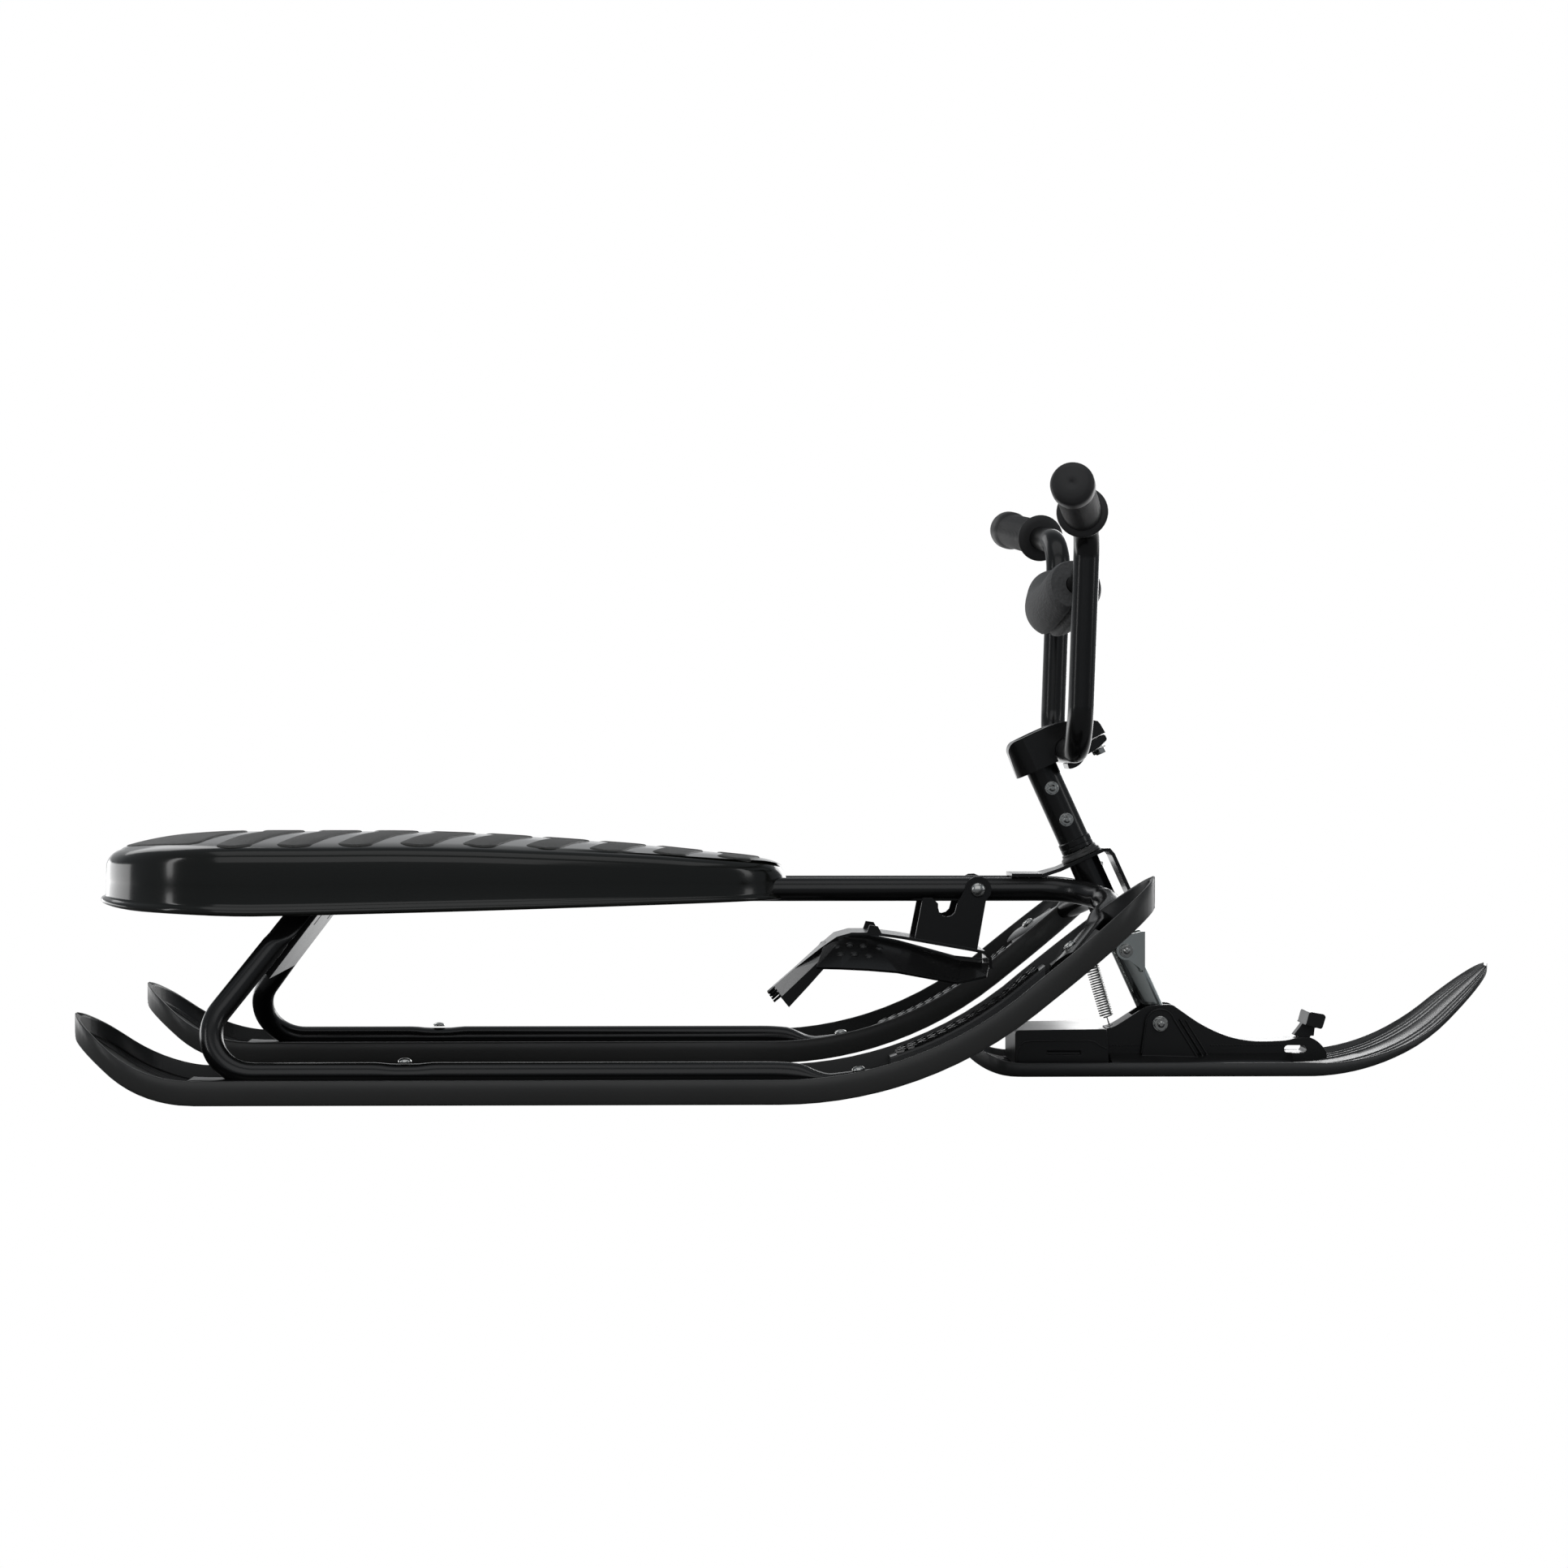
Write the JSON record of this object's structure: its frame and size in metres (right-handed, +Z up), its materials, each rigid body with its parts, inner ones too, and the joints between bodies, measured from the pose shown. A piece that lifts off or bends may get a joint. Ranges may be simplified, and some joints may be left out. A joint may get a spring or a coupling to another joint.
{
  "type": "steering sled",
  "caption": "Steering sled with a moulded seat on a tube frame, two rear skis, a sprung front ski turned by a handlebar, and a foot brake.",
  "frame": {"origin": "on the ground, under the middle of the sled's bounding box", "axes": "+X forward, the way the sled travels; +Y to the rider's left; +Z up"},
  "size_m": [1.1783, 0.581, 0.5002],
  "materials": {
    "seat_plastic": "gloss",
    "ski_plastic": "satin",
    "frame_paint": "gloss",
    "zinc": "zinc plated",
    "bolt_steel": "plated",
    "grip_rubber": "matt",
    "foam": "foam, matt"
  },
  "bodies": {
    "frame": {"backbone_tube_left": "frame_paint", "backbone_tube_right": "frame_paint", "rail_tube_left": "frame_paint", "rail_tube_right": "frame_paint", "rear_bracket": "frame_paint", "front_seat_bracket": "frame_paint", "bracket_bolt_left": "bolt_steel", "bracket_bolt_right": "bolt_steel", "head_yoke": "frame_paint", "head_tube": "frame_paint", "upper_bush": "ski_plastic", "lower_bush": "ski_plastic", "seat_shell": "seat_plastic", "rear_ski_left": "ski_plastic", "rear_ski_right": "ski_plastic", "foot_tread_left": "ski_plastic", "foot_tread_right": "ski_plastic", "rail_screw_rear_left": "bolt_steel", "rail_screw_rear_right": "bolt_steel", "rail_screw_front_left": "bolt_steel", "rail_screw_front_right": "bolt_steel", "blade_screw_left": "bolt_steel", "blade_screw_right": "bolt_steel", "brake_pivot_bolt": "bolt_steel", "brake_spring": "zinc"},
    "steering": {"steering_column": "zinc", "stem_tube": "frame_paint", "column_bolt_lower": "bolt_steel", "column_bolt_upper": "bolt_steel", "stem_clamp": "frame_paint", "clamp_cap": "frame_paint", "clamp_bolt_left": "bolt_steel", "clamp_bolt_right": "bolt_steel", "handlebar": "frame_paint", "crossbar": "frame_paint", "bar_pad": "foam", "grip_left": "grip_rubber", "grip_right": "grip_rubber", "stop_bracket": "zinc", "stop_bracket_bolt": "bolt_steel", "tension_spring": "zinc"},
    "front_ski_body": {"front_ski": "ski_plastic", "hinge_housing": "ski_plastic", "reel_housing": "ski_plastic", "ski_pivot_bolt": "bolt_steel"},
    "brake": {"brake_claw": "frame_paint"},
    "handle": {"pull_handle": "ski_plastic"},
    "reel": {"reel_drum": "ski_plastic"}
  },
  "joints": [
    {"name": "steer", "type": "hinge", "parent": "frame", "child": "steering", "pos_m": [0.307, 0, 0.045], "axis": [-0.4163, 0, 0.9092], "range_deg": [-30, 30]},
    {"name": "ski_pitch", "type": "hinge", "parent": "steering", "child": "front_ski_body", "pos_m": [0.307, 0, 0.045], "axis": [0, 1, 0], "range_deg": [-15, 6], "stiffness_Nm_per_rad": 4, "deforming": ["tension_spring"]},
    {"name": "brake", "type": "hinge", "parent": "frame", "child": "brake", "pos_m": [0.1507, 0, 0.1596], "axis": [0, -1, 0], "range_deg": [0, 25], "stiffness_Nm_per_rad": 2, "springref_deg": -34.38},
    {"name": "handle_pull", "type": "slide", "parent": "front_ski_body", "child": "handle", "axis": [0.2588, 0, 0.9659], "range_m": [0, 0.08], "stiffness_N_per_m": 20, "springref_m": -0.1},
    {"name": "reel_spin", "type": "hinge", "parent": "front_ski_body", "child": "reel", "pos_m": [0.218, 0, 0.024], "axis": [0, 0, 1], "range_deg": [0, 400]}
  ],
  "couplings": [
    {"joint": "reel_spin", "follows": "handle_pull", "rad_per_m": 80}
  ]
}
